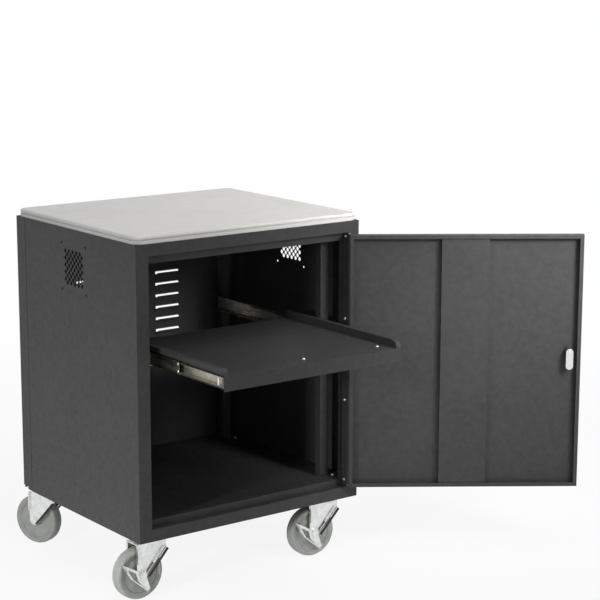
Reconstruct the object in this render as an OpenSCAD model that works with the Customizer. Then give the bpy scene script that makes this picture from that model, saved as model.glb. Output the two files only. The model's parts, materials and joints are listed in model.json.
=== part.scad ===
// Audio visual cart: a steel cabinet on four swivel casters with a hinged
// locking door, a pull-out tray on telescopic slides and a light worktop.
// It stands as it is used, with the door open and the tray pulled out.
// The origin is the middle of the worktop's upper face, the door faces -Y.

/* [Cabinet] */
// Width of the cabinet
body_w = 648; // [600:1:760]
// Depth of the cabinet
body_d = 564; // [556:1:680]
// Height of the cabinet without worktop and casters
body_h = 710; // [680:1:800]
// Thickness of the sheet steel
sheet = 1.2; // [1:0.1:1.5]
// Width of the inward flanges along the side panels' top and bottom
side_flange = 10; // [8:1:10]
// Width of the back panel's band that wraps round the rear corners
rear_band = 42; // [30:1:60]
// Groove between a side panel and the back panel's band
seam = 1.5; // [1:0.5:3]

/* [Front frame] */
// Height of the top rail
top_rail_h = 28.5; // [26:0.5:40]
// Height of the bottom rail
bottom_rail_h = 29.5; // [24:0.5:40]
// Width of the left stile
stile_left_w = 34; // [28:1:38]
// Width of the right stile, which carries the door
stile_right_w = 31; // [24:1:32]
// Depth of the front frame, from the cabinet's face to the door stop
frame_depth = 21.5; // [21.5:0.5:30]
// Height of the lower door stop above the bottom rail
lower_stop_h = 16; // [12:0.5:22]
// Height of the upper door stop below the top rail
upper_stop_h = 21.5; // [12:0.5:24]
// Width of the door stops along the stiles
stop_w = 12; // [8:1:14]

/* [Worktop] */
// Thickness of the worktop
top_t = 19; // [18:1:28]
// Distance of the worktop's edge from the cabinet's faces
top_inset = 2; // [0:0.5:4]
// Radius of the worktop's corners seen from above
top_corner = 22; // [14:1:30]
// Radius of the worktop's upper edges
edge_round = 6; // [4:0.5:6]
// Height of the groove round the worktop above its underside
groove_rise = 8; // [6:0.5:8]
// Width of the groove round the worktop
groove_w = 3; // [1:0.5:3]
// Depth of the groove round the worktop
groove_depth = 2; // [0.5:0.1:2]

/* [Vents] */
// Side of the square field of holes in each side panel
vent_field = 88; // [70:1:110]
// Diameter of a vent hole
vent_hole = 10.5; // [7:0.5:10.5]
// Holes in each row of the vent
vent_columns = 5; // [4:1:5]
// Distance of the vent's middle below the cabinet's top
vent_drop = 94; // [90:1:130]
// Distance between the screw holes for a fan
fan_pitch = 114; // [105:1:120]
// Length of a louvre in the back panel
louvre_w = 73; // [50:1:90]
// Height of a louvre's opening
louvre_h = 9; // [7:0.5:12]
// Height of a louvre hood's lip above the opening's lower edge
louvre_lip = 5; // [2:0.5:5]
// How far a louvre's hood stands out
louvre_hood = 6; // [4:0.5:8]
// Distance from one louvre to the next
louvre_pitch = 31.3; // [28:0.1:38]
// Louvres in each column
louvre_rows = 6; // [3:1:7]
// Distance of the louvre columns from the middle of the back
louvre_offset = 120; // [90:1:160]
// Distance of the top louvre below the cabinet's top
louvre_drop = 190; // [120:1:220]

/* [Door] */
// How far the door stands open, in degrees
door_open = 144.5; // [92:0.5:175]
// Thickness of the door
door_t = 20; // [16:0.5:20]
// Gap round the closed door
door_gap = 2.5; // [2.5:0.5:4]
// Gap below the closed door
foot_gap = 5; // [2.5:0.5:6]
// Width of the lips round the door's inner side
door_lip = 17; // [12:1:20]
// Width of the lip along the door's hinge side
hinge_lip = 10; // [8:1:14]
// Width of the stiffener's raised face
stiffener_w = 118; // [80:1:160]
// Width of the stiffener's flanges on the door
stiffener_flange = 12; // [8:1:20]
// Distance of the lock's middle from the door's free edge
lock_inset = 29; // [28:1:40]
// Height of the lock above the cabinet's bottom
lock_z = 383; // [300:1:450]
// Length of the lock's cam
cam_len = 53; // [50:1:60]
// Width of the lock's cam
cam_w = 18; // [14:1:20]

/* [Hinge] */
// Outer radius of the hinge's knuckles
knuckle_r = 3; // [2.8:0.1:3.2]
// Length of one knuckle
knuckle_len = 32; // [24:1:50]
// Radius of the hinge pin
pin_r = 1.25; // [1:0.05:1.5]
// Distance between the hinge's screws
hinge_screw_pitch = 208.5; // [180:0.5:212]

/* [Tray] */
// How far the tray is pulled out
tray_out = 310; // [250:0.5:440]
// Distance from the cabinet's face to the tray's front when pushed in
tray_setback = 60; // [50:1:70]
// Height of the slides' middle above the cabinet's bottom
tray_z = 427.5; // [200:0.5:520]
// Depth of the tray
tray_d = 445; // [420:1:455]
// Height of the tray's front lip
tray_lip_h = 32; // [24:1:40]
// Height of the deck above the middle of the slides
deck_rise = 13; // [6:1:16]
// Height of the tray's rims above its deck
rim_rise = 19; // [15:1:30]
// Radius at which the rims turn down to the front lip
rim_corner = 18; // [10:1:19]

/* [Slides] */
// Distance of the slides' outer faces from the cabinet's sides
slide_inset = 69; // [60:0.5:80]
// Length of a slide
slide_len = 457; // [440:1:470]
// Height of a slide
slide_h = 38; // [36:1:38]
// Thickness of a closed slide
slide_t = 12.7; // [12.7:0.1:14]
// Thickness of the slides' steel
slide_sheet = 1.2; // [1:0.1:1.3]
// Balls along each raceway
ball_count = 8; // [4:1:10]

/* [Uprights] */
// Width of an upright's flanges
upright_w = 25; // [20:1:28]
// Depth of an upright's web
upright_d = 19; // [16:1:26]
// Thickness of the uprights' steel
upright_sheet = 1.5; // [1.5:0.1:2]
// Length of an upright's foot
foot_w = 46; // [40:1:50]
// How far an upright's foot reaches forward of its post
foot_forward = 16; // [12:1:20]

/* [Casters] */
// Diameter of the wheels
wheel_d = 127; // [110:1:132]
// Width of the tread
tread_w = 32; // [28:1:32]
// Height from the floor to the cabinet's bottom
caster_h = 152; // [150:1:165]
// Distance from the swivel's axis to the wheel's axis
trail = 40; // [34:1:44]
// Distance of the front casters from the cabinet's sides
front_inset_x = 65; // [52:1:80]
// Distance of the front casters from the cabinet's face
front_inset_y = 56; // [56:1:80]
// Distance of the rear casters from the cabinet's sides
rear_inset_x = 54; // [52:1:80]
// Distance of the rear casters from the cabinet's back
rear_inset_y = 42; // [42:1:80]
// Length of a caster's plate
plate_w = 96; // [92:1:100]
// Width of a caster's plate
plate_d = 80; // [76:1:84]
// Thickness of a caster's plate
plate_t = 3.2; // [2.5:0.1:4]
// Thickness of the fork's steel
fork_t = 2.5; // [2:0.1:3]
// Thickness of the base channels' steel
base_t = 2; // [1.5:0.1:3]

/* [Hidden] */
$fn = 48;
sliver = 0.01;

// Levels and edges of the cabinet's inside
floor_z = bottom_rail_h + lower_stop_h;
ceiling_z = body_h - top_rail_h - upper_stop_h;
opening_left = stile_left_w;
opening_right = body_w - stile_right_w;
pan_left = 2 * sheet;
stop_back = frame_depth + sheet;
back_inner = body_d - sheet;
side_rear = body_d - rear_band - seam;
rear_lift = 8;
base_top = floor_z - sheet;
base_depth = 100;
vent_step = (vent_field - vent_hole) / (2 * vent_columns - 1);
fan_screw_r = 3;
lap = 20;

// Door in its closed place
leaf_t = 1;
door_left = opening_left + door_gap;
door_right = opening_right - door_gap;
door_bottom = bottom_rail_h + foot_gap;
door_top = body_h - top_rail_h - door_gap;
door_h = door_top - door_bottom;
hinge_x = opening_right - door_gap / 2;
hinge_y = -knuckle_r;
leaf_front = 0.5;
leaf_back = 18.5;
knuckle_gap = 0.4;
pin_clearance = 0.06;
knuckle_count = 2 * floor(door_h / knuckle_len / 2) + 1;
knuckle_step = door_h / knuckle_count;
hinge_screw_r = 4;
hinge_screw_h = 0.4;
hinge_screw_y = 12;
hinge_screw_first = floor_z;
stiffener_mid = (door_left + door_right) / 2 + 3;
stiffener_d = door_t - 4;
lock_x = door_left + lock_inset;
barrel_r = 9;
plug_r = 6;
lock_clearance = 0.05;
lock_nut_h = 4;
cam_t = 2.4;
cam_front = frame_depth + sheet + 1;

// Tray and slides in their closed place
slide_front = tray_setback + sheet + 0.8;
slide_inner_x = slide_inset + slide_t;
wall_x = slide_inner_x + sheet;
rim_left = slide_inset + 0.5;
deck_z = tray_z + deck_rise;
rim_z = deck_z + rim_rise;
lip_bottom = deck_z - tray_lip_h;
tray_rear = tray_setback + tray_d;
half_slide = slide_h / 2;
ball_r = 1.45;
ball_gap = 2 * ball_r + 0.1;
middle_half = half_slide - slide_sheet - ball_gap;
inner_half = middle_half - slide_sheet - ball_gap + 0.4;
small_ball_r = 1.2;
ball_pitch = 9;
cage_back = 110;
middle_web_x = slide_inset + slide_sheet + 1.4;
rivet_r = 3;
rivet_h = 1.2;
rivet_y = 45;
box_rim = 9;

// Uprights that carry the slides
front_post_y = slide_front + 2;
rear_post_y = slide_front + slide_len - upright_d - 0.5;
post_screw_r = 4;
post_screw_h = 2;

// Casters, with the place and the way that each one trails
caster_x = [front_inset_x, body_w - front_inset_x, rear_inset_x, body_w - rear_inset_x];
caster_y = [front_inset_y, front_inset_y, body_d - rear_inset_y, body_d - rear_inset_y];
heading = [181, 176, 114, 97];
wheel_r = wheel_d / 2;
axle_z = wheel_r - caster_h;
race_r = 29;
race_z = -plate_t - 9;
crown_z = race_z - 0.4;
fork_edge = 5;
edge_in = 0.2;
king_r = 6;
axle_r = 6;
nut_h = 5;
hub_r = 14;
running = 0.06;
rim_r = wheel_r - 11.5;
hub_half = tread_w / 2 + 2;
leg_inner = hub_half + 0.8;
leg_outer = leg_inner + fork_t;
lever_t = 2.5;
lever_gap = 0.3;
lever_hub_r = 12;
lever_fold = 6;
lever_tab = 16;
lever_foot = [55, 36];
bolt_r = 4;
bolt_head_r = 7.5;
bolt_pitch_x = plate_w - 28;
bolt_pitch_y = plate_d - 35;

// Colours
steel_black = [0.27, 0.27, 0.28];
top_grey = [0.85, 0.84, 0.81];
zinc = [0.8, 0.81, 0.8];
tyre_grey = [0.52, 0.53, 0.51];
core_grey = [0.6, 0.61, 0.59];

// Moves a piece from the cabinet's lower front left corner to the part's frame
module in_cart() {
    translate([-body_w / 2, -body_d / 2, -body_h - top_t]) children();
}

// Mirrors a piece of the left side to the right side
module on_right() {
    translate([body_w, 0, 0]) mirror([1, 0, 0]) children();
}

// Turns a piece of the closed door to where the door stands
module in_door() {
    translate([hinge_x, hinge_y, 0]) rotate(door_open) translate([-hinge_x, -hinge_y, 0]) children();
}

// Moves a piece of the closed tray out by a share of the tray's travel
module pulled(share) {
    translate([0, -tray_out * share, 0]) children();
}

// Section of bent sheet along a path of square corners
module fold(path, t) {
    for (i = [0:len(path) - 2]) {
        low = [min(path[i].x, path[i + 1].x) - t / 2, min(path[i].y, path[i + 1].y) - t / 2];
        high = [max(path[i].x, path[i + 1].x) + t / 2, max(path[i].y, path[i + 1].y) + t / 2];
        translate(low) square(high - low);
    }
}

// Extrudes a section drawn in depth and height from one x to another
module across(x0, x1) {
    translate([x0, 0, 0]) rotate([90, 0, 90]) linear_extrude(x1 - x0) children();
}

// Extrudes a plan section from one height to another
module upright_between(z0, z1) {
    translate([0, 0, z0]) linear_extrude(z1 - z0) children();
}

// Plan of a rectangle with round corners
module rounded_plan(w, d, r) {
    translate([r, 0]) square([w - 2 * r, d]);
    translate([0, r]) square([w, d - 2 * r]);
    for (x = [r, w - r]) {
        for (y = [r, d - r]) translate([x, y]) circle(r);
    }
}

// Solid cylinder along y, from y0 to y1
module bar_y(x, z, r, y0, y1) {
    translate([x, y0, z]) rotate([-90, 0, 0]) cylinder(h = y1 - y0, r = r);
}

// Section of the worktop across a width, with its upper corners rounded
module slab_section(w) {
    square([w, top_t - edge_round]);
    translate([edge_round, 0]) square([w - 2 * edge_round, top_t]);
    for (x = [edge_round, w - edge_round]) translate([x, top_t - edge_round]) circle(edge_round);
}

// Quarter of the worktop's corner, turned about the corner's middle
module slab_corner() {
    rotate_extrude(angle = 90) {
        square([top_corner, top_t - edge_round]);
        square([top_corner - edge_round, top_t]);
        translate([top_corner - edge_round, top_t - edge_round]) circle(edge_round);
    }
}

// Worktop slab with a rounded upper edge and a groove all round it
module worktop() {
    w = body_w - 2 * top_inset;
    d = body_d - 2 * top_inset;
    c = top_corner;
    color(top_grey) in_cart() translate([top_inset, top_inset, body_h]) difference() {
        union() {
            across(c, w - c) slab_section(d);
            translate([0, d - c, 0]) rotate([90, 0, 0]) linear_extrude(d - 2 * c) slab_section(w);
            translate([w - c, d - c, 0]) slab_corner();
            translate([c, d - c, 0]) rotate(90) slab_corner();
            translate([c, c, 0]) rotate(180) slab_corner();
            translate([w - c, c, 0]) rotate(270) slab_corner();
        }
        upright_between(groove_rise, groove_rise + groove_w) difference() {
            translate([-c, -c]) square([w + 2 * c, d + 2 * c]);
            translate([groove_depth, groove_depth])
                rounded_plan(w - 2 * groove_depth, d - 2 * groove_depth, c - groove_depth);
        }
    }
}

// Staggered field of vent holes and the fan's four screw holes, cut along x
module vent_cut() {
    corner = (vent_hole - vent_field) / 2;
    for (row = [0:2 * vent_columns - 1]) {
        for (column = [0:vent_columns - 1]) {
            y = body_d / 2 + corner + (2 * column + row % 2) * vent_step;
            z = body_h - vent_drop + corner + row * vent_step;
            translate([-1, y, z]) rotate([0, 90, 0]) cylinder(h = sheet + 2, r = vent_hole / 2, $fn = 24);
        }
    }
    for (y = [-1, 1] * fan_pitch / 2) {
        for (z = [-1, 1] * fan_pitch / 2) {
            translate([-1, body_d / 2 + y, body_h - vent_drop + z]) rotate([0, 90, 0])
                cylinder(h = sheet + 2, r = fan_screw_r, $fn = 24);
        }
    }
}

// Left side panel: flat skin with flanges, lapped behind the back's band
module side_panel() {
    h = sheet / 2;
    difference() {
        upright_between(0, body_h) fold([[h, sheet + h], [h, side_rear - h], [sheet + h, side_rear - h],
            [sheet + h, side_rear + seam + lap]], sheet);
        vent_cut();
    }
    for (z = [0, body_h - sheet]) {
        translate([sheet - sliver, stop_back, z])
            cube([side_flange + sliver, side_rear - stop_back - sheet, sheet]);
    }
}

module side_panel_left() {
    color(steel_black) in_cart() side_panel();
}

module side_panel_right() {
    color(steel_black) in_cart() on_right() side_panel();
}

// Places something at the lower middle of each louvre's opening
module at_louvres() {
    for (side = [-1, 1]) {
        for (row = [0:louvre_rows - 1]) {
            translate([body_w / 2 + side * louvre_offset, body_d,
                body_h - louvre_drop - row * louvre_pitch - louvre_h / 2]) children();
        }
    }
}

// Hood of one louvre with closed ends, open below its lip
module louvre_hood_piece() {
    half = louvre_w / 2;
    lip = louvre_lip;
    top = louvre_h;
    difference() {
        across(-half - 1, half + 1)
            polygon([[-sliver, lip], [louvre_hood, lip], [louvre_hood, lip + 1], [0, top + 1],
                [-sliver, top + 1]]);
        across(-half, half)
            polygon([[-1, -1], [louvre_hood, -1], [louvre_hood, lip - 0.2], [0, top - 0.2],
                [-1, top - 0.2]]);
    }
}

// Back panel with its wrapped bands and two columns of louvres
module back_panel() {
    h = sheet / 2;
    color(steel_black) in_cart() {
        difference() {
            upright_between(rear_lift, body_h) fold([[h, body_d - rear_band + h], [h, body_d - h],
                [body_w - h, body_d - h], [body_w - h, body_d - rear_band + h]], sheet);
            at_louvres() translate([-louvre_w / 2, -sheet - 1, 0])
                cube([louvre_w, sheet + 2, louvre_h - 0.2]);
        }
        at_louvres() louvre_hood_piece();
    }
}

// Inner floor: a pan with a flange down at the front and at the back
module floor_pan() {
    h = sheet / 2;
    color(steel_black) in_cart() across(pan_left, body_w - pan_left)
        fold([[frame_depth + h, sheet + h], [frame_depth + h, floor_z - h], [back_inner - h, floor_z - h],
            [back_inner - h, sheet + h]], sheet);
}

// Inner ceiling: a pan with a flange up at the front and at the back
module ceiling_pan() {
    h = sheet / 2;
    color(steel_black) in_cart() across(pan_left, body_w - pan_left)
        fold([[frame_depth + h, body_h - sheet - h], [frame_depth + h, ceiling_z + h],
            [back_inner - h, ceiling_z + h], [back_inner - h, body_h - sheet - h]], sheet);
}

// Stile of the front frame: face, outer leg, return and door stop
module stile(face_w) {
    h = sheet / 2;
    upright_between(0, body_h) {
        fold([[h, h], [face_w - h, h], [face_w - h, frame_depth - h]], sheet);
        fold([[sheet + h, h], [sheet + h, frame_depth - h]], sheet);
    }
    upright_between(floor_z, ceiling_z)
        fold([[face_w - h, frame_depth - h], [face_w - h, frame_depth + h],
            [face_w + stop_w - h, frame_depth + h]], sheet);
}

module stile_left() {
    color(steel_black) in_cart() stile(stile_left_w);
}

module stile_right() {
    color(steel_black) in_cart() on_right() stile(stile_right_w);
}

// Cross rail of the front frame, open towards the cabinet
module rail(z0, z1) {
    h = sheet / 2;
    across(opening_left, opening_right)
        fold([[frame_depth - h, z0 + h], [h, z0 + h], [h, z1 - h], [frame_depth - h, z1 - h]], sheet);
}

module top_rail() {
    color(steel_black) in_cart() rail(body_h - top_rail_h, body_h);
}

module bottom_rail() {
    color(steel_black) in_cart() rail(0, bottom_rail_h);
}

// Places something at each bolt of one caster's plate
module at_bolts() {
    for (x = [-1, 1] * bolt_pitch_x / 2) {
        for (y = [-1, 1] * bolt_pitch_y / 2) translate([x, y, 0]) children();
    }
}

// Channel across the base that two casters bolt to
module base_channel(y0, first) {
    h = base_t / 2;
    difference() {
        across(sheet + side_flange, body_w - sheet - side_flange)
            fold([[y0 + h, base_top - h], [y0 + h, h], [y0 + base_depth - h, h],
                [y0 + base_depth - h, base_top - h]], base_t);
        for (i = [first, first + 1]) {
            translate([caster_x[i], caster_y[i], -1]) at_bolts() cylinder(h = base_t + 2, r = bolt_r + 0.3);
        }
    }
}

module base_channel_front() {
    color(steel_black) in_cart() base_channel(stop_back, 0);
}

module base_channel_rear() {
    color(steel_black) in_cart() base_channel(back_inner - sheet - base_depth, 2);
}

// Foot of an upright, a plate on the floor with a screw hole
module upright_foot(z) {
    translate([slide_inset - foot_w, -foot_forward, z]) difference() {
        cube([foot_w, foot_forward + upright_d, upright_sheet]);
        translate([foot_w - upright_w - 10, foot_forward / 2, -1]) cylinder(h = upright_sheet + 2, r = 2.5);
    }
}

// Left upright: a channel with its web towards the tray and a foot at each end
module upright(y) {
    h = upright_sheet / 2;
    back = slide_inset - upright_w;
    translate([0, y, 0]) {
        upright_between(floor_z, ceiling_z)
            fold([[back + h, h], [slide_inset - h, h], [slide_inset - h, upright_d - h],
                [back + h, upright_d - h]], upright_sheet);
        upright_foot(floor_z);
        upright_foot(ceiling_z - upright_sheet);
    }
}

module upright_front_left() {
    color(steel_black) in_cart() upright(front_post_y);
}

module upright_front_right() {
    color(steel_black) in_cart() on_right() upright(front_post_y);
}

module upright_rear_left() {
    color(steel_black) in_cart() upright(rear_post_y);
}

module upright_rear_right() {
    color(steel_black) in_cart() on_right() upright(rear_post_y);
}

// Section of a slide's member, drawn in width and height from its web
module member_section(web_x, lip_x, half) {
    h = slide_sheet / 2;
    fold([[lip_x, -half + h], [web_x, -half + h], [web_x, half - h], [lip_x, half - h]], slide_sheet);
}

// Extrudes a slide's section along the cabinet's depth
module along_depth(y0, length) {
    translate([0, y0 + length, tray_z]) rotate([90, 0, 0]) linear_extrude(length) children();
}

module slide_outer() {
    h = slide_sheet / 2;
    along_depth(slide_front, slide_len) member_section(slide_inset + h, slide_inner_x - 2, half_slide);
}

module slide_middle() {
    h = slide_sheet / 2;
    along_depth(slide_front, slide_len) member_section(middle_web_x + h, slide_inner_x - 2, middle_half);
}

module slide_inner() {
    h = slide_sheet / 2;
    along_depth(slide_front, slide_len) member_section(slide_inner_x - h, slide_inner_x - 7, inner_half);
    translate([slide_inner_x - 7, slide_front, tray_z - inner_half]) cube([7, slide_sheet, 2 * inner_half]);
}

module slide_outer_left() {
    color(zinc) in_cart() slide_outer();
}

module slide_outer_right() {
    color(zinc) in_cart() on_right() slide_outer();
}

module slide_middle_left() {
    color(zinc) in_cart() pulled(0.5) slide_middle();
}

module slide_middle_right() {
    color(zinc) in_cart() on_right() pulled(0.5) slide_middle();
}

module slide_inner_left() {
    color(zinc) in_cart() pulled(1) slide_inner();
}

module slide_inner_right() {
    color(zinc) in_cart() on_right() pulled(1) slide_inner();
}

// Strip of balls that runs between two members
module ball_strip(x, z, r, y0) {
    length = (ball_count + 1) * ball_pitch;
    translate([x - 1.6, y0, z - 0.4]) cube([3.2, length, 0.8]);
    for (i = [1:ball_count]) translate([x, y0 + i * ball_pitch, z]) sphere(r, $fn = 24);
}

// Balls of one slide: the outer pair at the back, the inner pair in front
module ball_cage() {
    big_z = (half_slide - slide_sheet + middle_half) / 2;
    small_z = (middle_half - slide_sheet + inner_half) / 2;
    for (side = [-1, 1]) {
        translate([0, 0, tray_z]) {
            ball_strip(slide_inner_x - 4, side * big_z, ball_r, slide_front + slide_len - cage_back);
            ball_strip(slide_inner_x - 4, side * small_z, small_ball_r, slide_front + 2);
        }
    }
}

module ball_cages() {
    color(zinc) in_cart() pulled(0.5) {
        ball_cage();
        on_right() ball_cage();
    }
}

// Round screw head that stands on a face looking along -x
module head_to_left(x, y, z, r, height) {
    translate([x - height, y, z]) rotate([0, 90, 0]) cylinder(h = height, r = r);
}

// Pan head screws of the hinge and of the uprights' feet
module cabinet_screws() {
    color(zinc) in_cart() {
        for (z = [hinge_screw_first:hinge_screw_pitch:door_top - hinge_screw_r])
            head_to_left(opening_right - leaf_t, hinge_screw_y, z, hinge_screw_r, hinge_screw_h);
        for (y = [front_post_y, rear_post_y]) {
            post_screws(y);
            on_right() post_screws(y);
        }
    }
}

// Screws through one upright's two feet
module post_screws(y) {
    x = slide_inset - upright_w - 10;
    translate([x, y - foot_forward / 2, 0]) {
        translate([0, 0, floor_z + upright_sheet]) cylinder(h = post_screw_h, r = post_screw_r);
        translate([0, 0, ceiling_z - upright_sheet - post_screw_h])
            cylinder(h = post_screw_h, r = post_screw_r);
        translate([0, 0, floor_z]) cylinder(h = upright_sheet + 1, r = post_screw_r / 2);
        translate([0, 0, ceiling_z - upright_sheet - 1])
            cylinder(h = upright_sheet + 1, r = post_screw_r / 2);
    }
}

// One leaf of the long hinge: first is 0 or 1 and picks its knuckles
module hinge_leaf(x, first) {
    difference() {
        union() {
            translate([x, leaf_front, door_bottom]) cube([leaf_t, leaf_back - leaf_front, door_h]);
            for (i = [first:2:knuckle_count - 1]) {
                z = door_bottom + i * knuckle_step + knuckle_gap / 2;
                translate([x, hinge_y, z])
                    cube([leaf_t, leaf_front - hinge_y + sliver, knuckle_step - knuckle_gap]);
                translate([hinge_x, hinge_y, z]) cylinder(h = knuckle_step - knuckle_gap, r = knuckle_r);
            }
        }
        translate([hinge_x, hinge_y, door_bottom - 1]) cylinder(h = door_h + 2, r = pin_r + pin_clearance);
    }
}

module hinge_leaf_frame() {
    color(steel_black) in_cart() hinge_leaf(opening_right - leaf_t, 0);
}

module hinge_leaf_door() {
    color(steel_black) in_cart() in_door() hinge_leaf(door_right, 1);
}

// Pin of the long hinge, with a cap against the knuckle at each end
module hinge_pin() {
    color(zinc) in_cart() translate([hinge_x, hinge_y, door_bottom]) {
        cylinder(h = door_h, r = pin_r);
        for (z = [knuckle_gap / 2 - 1, door_h - knuckle_gap / 2])
            translate([0, 0, z]) cylinder(h = 1, r = knuckle_r - 0.4);
    }
}

// Door pan: skin, four return flanges and the lips of its inner side
module door_panel() {
    w = door_right - door_left;
    color(steel_black) in_cart() in_door() difference() {
        translate([door_left, 0, door_bottom]) cube([w, door_t, door_h]);
        translate([door_left + sheet, sheet, door_bottom + sheet])
            cube([w - 2 * sheet, door_t - 2 * sheet, door_h - 2 * sheet]);
        translate([door_left + door_lip, door_t - 2 * sheet, door_bottom + door_lip])
            cube([w - door_lip - hinge_lip, 3 * sheet, door_h - 2 * door_lip]);
        bar_y(lock_x, lock_z, barrel_r + 0.1, -1, sheet + 1);
    }
}

// Hat section up the middle of the door's inner side
module door_stiffener() {
    h = sheet / 2;
    left = stiffener_mid - stiffener_w / 2;
    right = stiffener_mid + stiffener_w / 2;
    color(steel_black) in_cart() in_door() upright_between(door_bottom + sheet, door_top - sheet)
        fold([[left - stiffener_flange, sheet + h], [left + h, sheet + h], [left + h, stiffener_d - h],
            [right - h, stiffener_d - h], [right - h, sheet + h],
            [right + stiffener_flange, sheet + h]], sheet);
}

// Lock barrel with its face ring and its nut behind the door's skin
module lock_housing() {
    color(zinc) in_cart() in_door() difference() {
        union() {
            bar_y(lock_x, lock_z, barrel_r + 2.5, -1.5, 0);
            bar_y(lock_x, lock_z, barrel_r, -1.5, cam_front - 0.4);
            translate([lock_x, sheet, lock_z]) rotate([-90, 0, 0])
                cylinder(h = lock_nut_h, r = barrel_r + 4, $fn = 6);
        }
        bar_y(lock_x, lock_z, plug_r + lock_clearance, -2, cam_front);
    }
}

module lock_plug() {
    color(zinc) in_cart() in_door() difference() {
        bar_y(lock_x, lock_z, plug_r, -1.2, cam_front);
        translate([lock_x - 0.6, -2, lock_z - 3.5]) cube([1.2, 9, 7]);
    }
}

// Cam of the lock, hanging down while the lock is open
module lock_cam() {
    r = cam_w / 2;
    color(zinc) in_cart() in_door() translate([lock_x, cam_front + cam_t, lock_z]) rotate([90, 0, 0])
        linear_extrude(cam_t) {
            circle(r);
            translate([-r, -cam_len + 2 * r]) square([cam_w, cam_len - 2 * r]);
            translate([0, -cam_len + 2 * r]) circle(r);
        }
}

module cam_screw() {
    color(zinc) in_cart() in_door() {
        translate([lock_x, cam_front + cam_t, lock_z]) rotate([-90, 0, 0]) cylinder(h = 3, r = 5, $fn = 6);
    }
}

// Side view of the region under the rim, set in by a distance
module under_rim(inset, bottom) {
    r = rim_corner - inset;
    intersection() {
        translate([tray_setback + inset, bottom]) square([tray_d - inset, rim_z - inset - bottom]);
        union() {
            translate([tray_setback + rim_corner, rim_z - rim_corner]) circle(r);
            translate([tray_setback + inset, bottom]) square([tray_d, rim_z - rim_corner - bottom]);
            translate([tray_setback + rim_corner, bottom]) square([tray_d, rim_z - bottom]);
        }
    }
}

// Tray's left side: wall on the slide, rim over the slide and its outer lip
module tray_side() {
    difference() {
        across(rim_left, wall_x) under_rim(0, lip_bottom);
        across(rim_left + sheet, slide_inner_x) under_rim(sheet, lip_bottom - 1);
        translate([rim_left - 1, 0, 0]) cube([slide_inner_x - rim_left + 1, body_d, deck_z]);
        translate([rim_left - 1, tray_setback + sheet, 0])
            cube([slide_inner_x - rim_left + 1, body_d, tray_z + half_slide + 1]);
        translate([rim_left - 1, tray_setback - 1, 0]) cube([wall_x, sheet + 1, deck_z]);
    }
}

module tray_side_left() {
    color(steel_black) in_cart() pulled(1) tray_side();
}

module tray_side_right() {
    color(steel_black) in_cart() on_right() pulled(1) tray_side();
}

// Deck, folded at the front into a box whose last flange is riveted under it
module tray_deck() {
    h = sheet / 2;
    box_back = tray_setback + rivet_y - box_rim;
    color(steel_black) in_cart() pulled(1) {
        across(wall_x, body_w - wall_x) {
            fold([[tray_setback + h, deck_z - h], [tray_rear - h, deck_z - h],
                [tray_rear - h, lip_bottom + h]], sheet);
            fold([[tray_setback + h, lip_bottom + h], [box_back, lip_bottom + h],
                [box_back, deck_z - sheet - h], [box_back + 2 * box_rim, deck_z - sheet - h]], sheet);
        }
        translate([rim_left, tray_setback, lip_bottom]) cube([body_w - 2 * rim_left, sheet, tray_lip_h]);
    }
}

module tray_rivets() {
    w = body_w - 2 * rim_left;
    color(zinc) in_cart() pulled(1) {
        for (share = [0.07, 0.5, 0.93])
            translate([rim_left + share * w, tray_setback + rivet_y, deck_z])
                cylinder(h = rivet_h, r = rivet_r);
    }
}

// One bolt of a caster's plate, with its head below and its nut above
module plate_bolt() {
    translate([0, 0, -plate_t - 4]) cylinder(h = 4, r = bolt_head_r, $fn = 6);
    translate([0, 0, -plate_t - 1]) cylinder(h = plate_t + base_t + 8, r = bolt_r);
    translate([0, 0, base_t]) cylinder(h = 5, r = bolt_head_r, $fn = 6);
}

module caster_bolts() {
    color(zinc) in_cart() {
        for (i = [0:3]) translate([caster_x[i], caster_y[i], 0]) at_bolts() plate_bolt();
    }
}

// Mounting plate with the upper race and the king pin
module caster_plate(i) {
    corner = 8;
    color(zinc) in_cart() translate([caster_x[i], caster_y[i], 0]) {
        difference() {
            translate([-plate_w / 2, -plate_d / 2, -plate_t]) linear_extrude(plate_t)
                rounded_plan(plate_w, plate_d, corner);
            translate([0, 0, -plate_t - 1]) at_bolts() cylinder(h = plate_t + 2, r = bolt_r + 0.3);
        }
        rotate_extrude() polygon([[0, -plate_t + sliver], [race_r + 4, -plate_t + sliver],
            [race_r + 4, -plate_t - 2.5], [race_r, -plate_t - 5], [race_r, race_z], [0, race_z]]);
        translate([0, 0, crown_z - fork_t - 4.5]) cylinder(h = 4.2, r = king_r + 4);
        translate([0, 0, crown_z - fork_t - 1]) cylinder(h = fork_t + 2, r = king_r);
    }
}

module caster_plate_front_left() { caster_plate(0); }
module caster_plate_front_right() { caster_plate(1); }
module caster_plate_rear_left() { caster_plate(2); }
module caster_plate_rear_right() { caster_plate(3); }

// Turns a piece of a caster, drawn trailing along +x, to how that caster stands
module in_swivel(i) {
    in_cart() translate([caster_x[i], caster_y[i], 0]) rotate(heading[i]) children();
}

// Side view of a fork's leg, from the crown down to the axle
module leg_section() {
    polygon([[-race_r, crown_z], [trail + 14, crown_z], [trail + 14, axle_z + 26], [trail + 13, axle_z],
        [trail - 12, axle_z - 4], [-race_r, crown_z - 15]]);
    translate([trail, axle_z]) circle(13);
}

// Strip of sheet along a leg's edge, drawn inward from the line between two points
module edge_strip(a, b) {
    run = b - a;
    translate(a) rotate(atan2(run.y, run.x)) translate([0, edge_in]) square([norm(run), fork_t]);
}

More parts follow.
